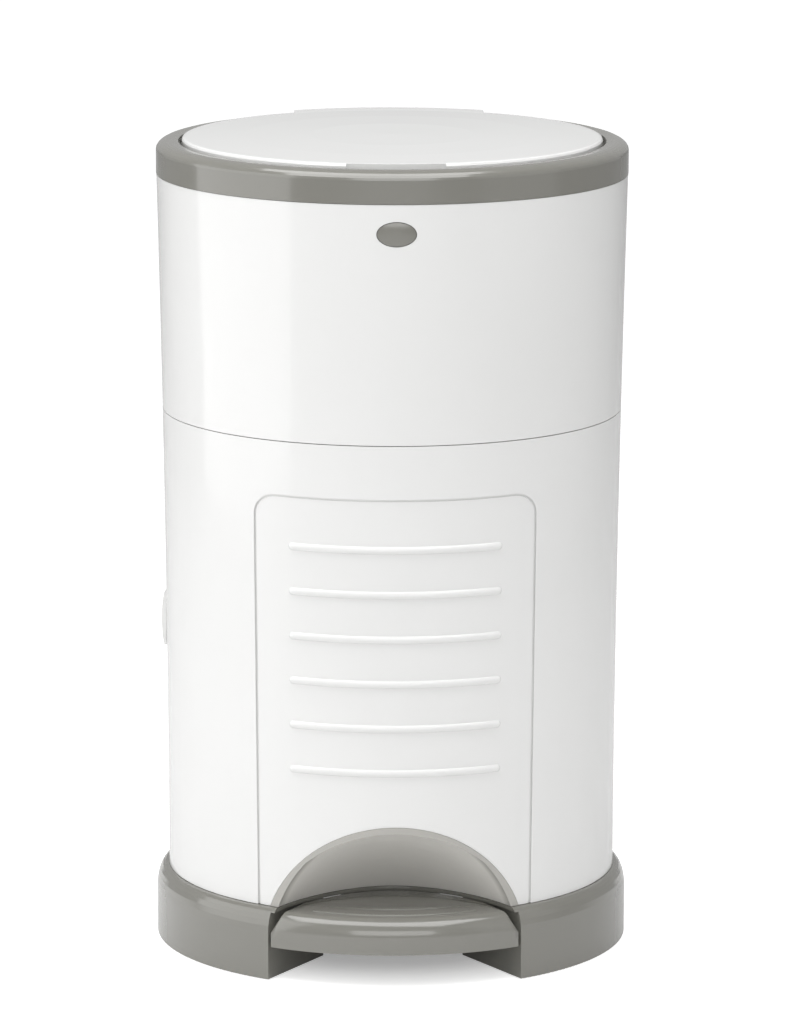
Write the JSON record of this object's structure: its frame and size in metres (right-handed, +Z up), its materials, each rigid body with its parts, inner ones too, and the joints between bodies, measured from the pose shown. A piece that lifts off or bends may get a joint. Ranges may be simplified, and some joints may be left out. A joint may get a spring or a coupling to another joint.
{
  "type": "nappy bin",
  "caption": "Round pedal-operated nappy bin with a tilting head, sealing trap flaps, a front emptying door and a film cassette.",
  "frame": {"origin": "middle of the footprint on the floor", "axes": "+Z up, the pedal and the door face -Y, +X is the door's hinge side"},
  "size_m": [0.29, 0.29, 0.4972],
  "materials": {
    "white_shell": "glossy injection-moulded white plastic",
    "grey_shell": "glossy warm grey plastic",
    "inner_white": "satin white plastic of the inner parts",
    "inner_grey": "satin grey plastic of the linkage",
    "steel": "bright drawn steel",
    "foot_rubber": "black rubber",
    "seal_rubber": "dark grey seal rubber",
    "cassette": "pale blue-grey moulded plastic",
    "film": "thin milky film in tight folds"
  },
  "bodies": {
    "body": {"base_ring": "grey_shell", "rubber_feet": "foot_rubber", "pedal_pin": "steel", "rod_channel": "inner_white", "rear_shell": "white_shell", "upper_shell": "white_shell", "cassette_ledge": "inner_white", "door_pins": "steel", "hinge_pin": "steel", "refill_cassette": "cassette", "film_pack": "film"},
    "pedal": {"pedal": "grey_shell"},
    "rod": {"push_rod": "inner_grey"},
    "door": {"front_door": "white_shell", "foot_recess": "grey_shell", "bag_cutter": "inner_grey", "cutter_blade": "steel"},
    "lock": {"door_lock": "white_shell"},
    "button": {"release_button": "grey_shell", "button_spring": "steel"},
    "head": {"rim_ring": "grey_shell", "funnel": "inner_white", "head_catch": "inner_grey", "trap_pins": "steel", "yoke_posts": "steel"},
    "lid": {"lid": "white_shell", "lid_liner": "inner_white", "lid_seal": "seal_rubber"},
    "flap_left": {"trap_left": "inner_grey"},
    "flap_right": {"trap_right": "inner_grey"},
    "yoke": {"lift_yoke": "inner_grey"}
  },
  "joints": [
    {"name": "head_tilt", "type": "hinge", "parent": "body", "child": "head", "pos_m": [0, 0.124, 0.485], "axis": [-1, 0, 0], "range_deg": [0, 75]},
    {"name": "lid_open", "type": "hinge", "parent": "head", "child": "lid", "pos_m": [0, 0.124, 0.485], "axis": [-1, 0, 0], "range_deg": [0, 72]},
    {"name": "flap_left_drop", "type": "hinge", "parent": "head", "child": "flap_left", "pos_m": [-0.062, 0, 0.452], "axis": [0, 1, 0], "range_deg": [0, 72]},
    {"name": "flap_right_drop", "type": "hinge", "parent": "head", "child": "flap_right", "pos_m": [0.062, 0, 0.452], "axis": [0, -1, 0], "range_deg": [0, 72]},
    {"name": "yoke_lift", "type": "slide", "parent": "head", "child": "yoke", "axis": [0, 0, 1], "range_m": [0, 0.0098]},
    {"name": "rod_lift", "type": "slide", "parent": "body", "child": "rod", "axis": [0, 0, 1], "range_m": [0, 0.0098]},
    {"name": "pedal_press", "type": "hinge", "parent": "body", "child": "pedal", "pos_m": [0, 0.01925, 0.018], "axis": [1, 0, 0], "range_deg": [0, 5.5]},
    {"name": "door_swing", "type": "hinge", "parent": "body", "child": "door", "pos_m": [0.1335, 0.003, 0.18], "axis": [0, 0, 1], "range_deg": [0, 90]},
    {"name": "door_lock_slide", "type": "slide", "parent": "body", "child": "lock", "axis": [0, 0, 1], "range_m": [0, 0.008]},
    {"name": "button_press", "type": "slide", "parent": "body", "child": "button", "axis": [0, 1, 0], "range_m": [0, 0.003], "stiffness_N_per_m": 400}
  ],
  "couplings": [
    {"joint": "flap_left_drop", "follows": "lid_open", "ratio": 1},
    {"joint": "flap_right_drop", "follows": "lid_open", "ratio": 1},
    {"joint": "yoke_lift", "follows": "lid_open", "m_per_rad": 0.0077986},
    {"joint": "rod_lift", "follows": "lid_open", "m_per_rad": 0.0077986},
    {"joint": "pedal_press", "follows": "lid_open", "ratio": 0.076389}
  ]
}
